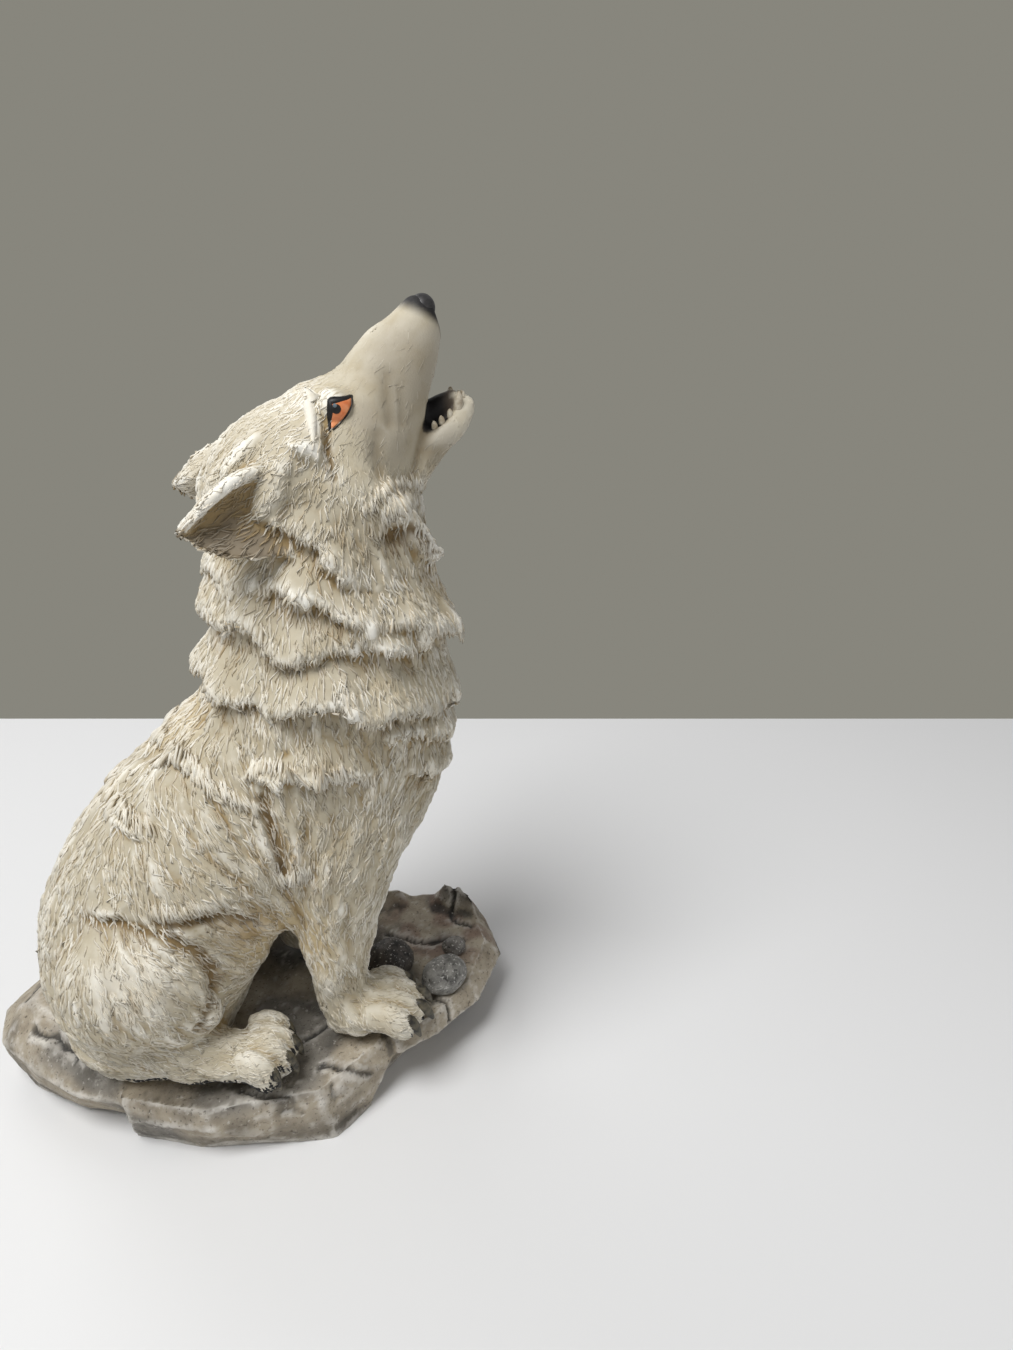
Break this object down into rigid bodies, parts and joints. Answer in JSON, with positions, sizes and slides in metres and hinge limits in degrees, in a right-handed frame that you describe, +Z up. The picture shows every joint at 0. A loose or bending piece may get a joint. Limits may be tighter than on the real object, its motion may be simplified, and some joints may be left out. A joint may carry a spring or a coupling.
{
  "type": "howling wolf figurine",
  "caption": "Painted resin figurine of a white wolf that sits on a rock and howls, cast in one piece with a flat underside.",
  "frame": {"origin": "on the table plane, under the middle of the rock's length and of the wolf's width", "axes": "+Z up, +X the way that the wolf looks, +Y the wolf's left side, which the picture does not show"},
  "size_m": [0.2231, 0.1287, 0.3191],
  "materials": {
    "painted_fur": "cream paint, dry-brushed white, satin-matte",
    "painted_rock": "taupe paint with dark washed cracks and pale dry-brushed edges, matte",
    "painted_dark": "black paint on the nose, claws and eye lines, satin",
    "painted_eye": "orange paint, satin",
    "painted_mouth": "dark red-brown paint, satin",
    "painted_tooth": "off-white paint, satin"
  },
  "bodies": {
    "root": {"wolf_casting": "painted_fur"}
  },
  "joints": []
}
